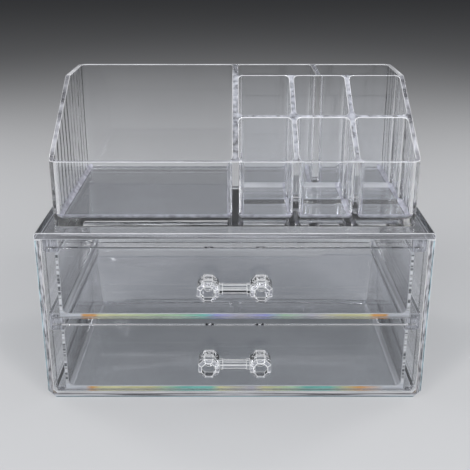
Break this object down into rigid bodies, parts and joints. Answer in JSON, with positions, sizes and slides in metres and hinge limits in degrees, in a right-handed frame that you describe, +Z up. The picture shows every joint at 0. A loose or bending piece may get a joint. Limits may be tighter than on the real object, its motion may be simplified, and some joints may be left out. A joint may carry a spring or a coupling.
{
  "type": "cosmetics drawer organizer",
  "caption": "Clear plastic cosmetics organizer: a casing with sliding drawers that have octagonal knobs and bars, and a lift-off tray with a sloped front and compartments on top.",
  "frame": {"origin": "on the table, under the middle of the space between the knobs' front faces and the casing's rear face, halfway across the width", "axes": "+X to the right of someone facing the drawer fronts, +Y from the drawer fronts to the back panel, +Z up"},
  "size_m": [0.24, 0.15, 0.1931],
  "materials": {
    "casing_clear": "clear, glossy",
    "drawer_clear": "clear, glossy",
    "handle_clear": "clear, polished facets",
    "tray_clear": "clear, glossy"
  },
  "bodies": {
    "casing": {"casing_body": "casing_clear", "casing_top_panel": "casing_clear", "casing_back_panel": "casing_clear", "floor_guide_left": "casing_clear", "floor_guide_right": "casing_clear", "mid_rail_left": "casing_clear", "mid_rail_right": "casing_clear", "top_rail_left": "casing_clear", "top_rail_right": "casing_clear"},
    "lower_drawer": {"lower_drawer_tub": "drawer_clear", "lower_drawer_front": "drawer_clear", "lower_knob_left": "handle_clear", "lower_knob_right": "handle_clear", "lower_handle_bar": "handle_clear"},
    "upper_drawer": {"upper_drawer_tub": "drawer_clear", "upper_drawer_front": "drawer_clear", "upper_knob_left": "handle_clear", "upper_knob_right": "handle_clear", "upper_handle_bar": "handle_clear"},
    "tray": {"tray": "tray_clear"}
  },
  "joints": [
    {"name": "lower_drawer_slide", "type": "slide", "parent": "casing", "child": "lower_drawer", "axis": [0, -1, 0], "range_m": [0, 0.105]},
    {"name": "upper_drawer_slide", "type": "slide", "parent": "casing", "child": "upper_drawer", "axis": [0, -1, 0], "range_m": [0, 0.105]},
    {"name": "tray_lift", "type": "slide", "parent": "casing", "child": "tray", "axis": [0, 0, 1], "range_m": [0, 0.08]}
  ]
}
